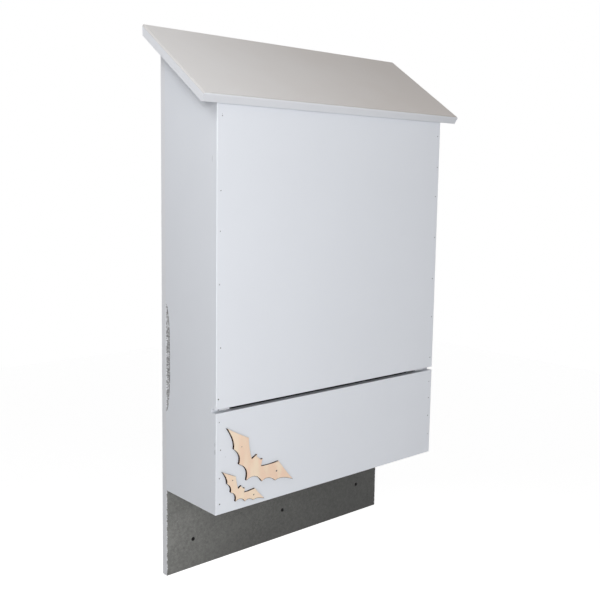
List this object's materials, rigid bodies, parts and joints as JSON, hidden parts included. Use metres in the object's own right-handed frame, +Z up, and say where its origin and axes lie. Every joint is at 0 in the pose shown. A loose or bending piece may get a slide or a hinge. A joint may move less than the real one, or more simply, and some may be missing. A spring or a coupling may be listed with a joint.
{
  "type": "bat box",
  "caption": "Tall flat wall-hung bat box with a sloping roof, a dark landing board, a front vent slot, side vents and pinned bat cut-outs.",
  "frame": {"origin": "middle of the back panel's lower edge, on the face against the wall", "axes": "+Z up, +Y into the wall, +X to the right seen from the front"},
  "size_m": [0.569, 0.1653, 0.9],
  "materials": {
    "white_paint": "smooth painted board, satin",
    "roof_paint": "smooth painted board, warm grey on top",
    "back_board": "dark mottled rough board, painted edges",
    "dark_stain": "dark stained rough board",
    "painted_strip": "painted batten",
    "steel": "brad heads and vent gauze",
    "birch_ply": "pale plywood with scorched edges"
  },
  "bodies": {
    "root": {"back_panel": "back_board", "large_bat": "birch_ply", "left_rear_strip_lower": "dark_stain", "left_rear_strip_upper": "dark_stain", "left_side": "white_paint", "left_strip_2": "dark_stain", "left_strip_3": "dark_stain", "left_strip_4": "painted_strip", "lower_front_panel": "white_paint", "partition_1": "dark_stain", "partition_2": "dark_stain", "partition_3": "dark_stain", "right_rear_strip_lower": "dark_stain", "right_rear_strip_upper": "dark_stain", "right_side": "white_paint", "right_strip_2": "dark_stain", "right_strip_3": "dark_stain", "right_strip_4": "painted_strip", "roof": "roof_paint", "small_bat": "birch_ply", "upper_front_panel": "white_paint"}
  },
  "joints": []
}
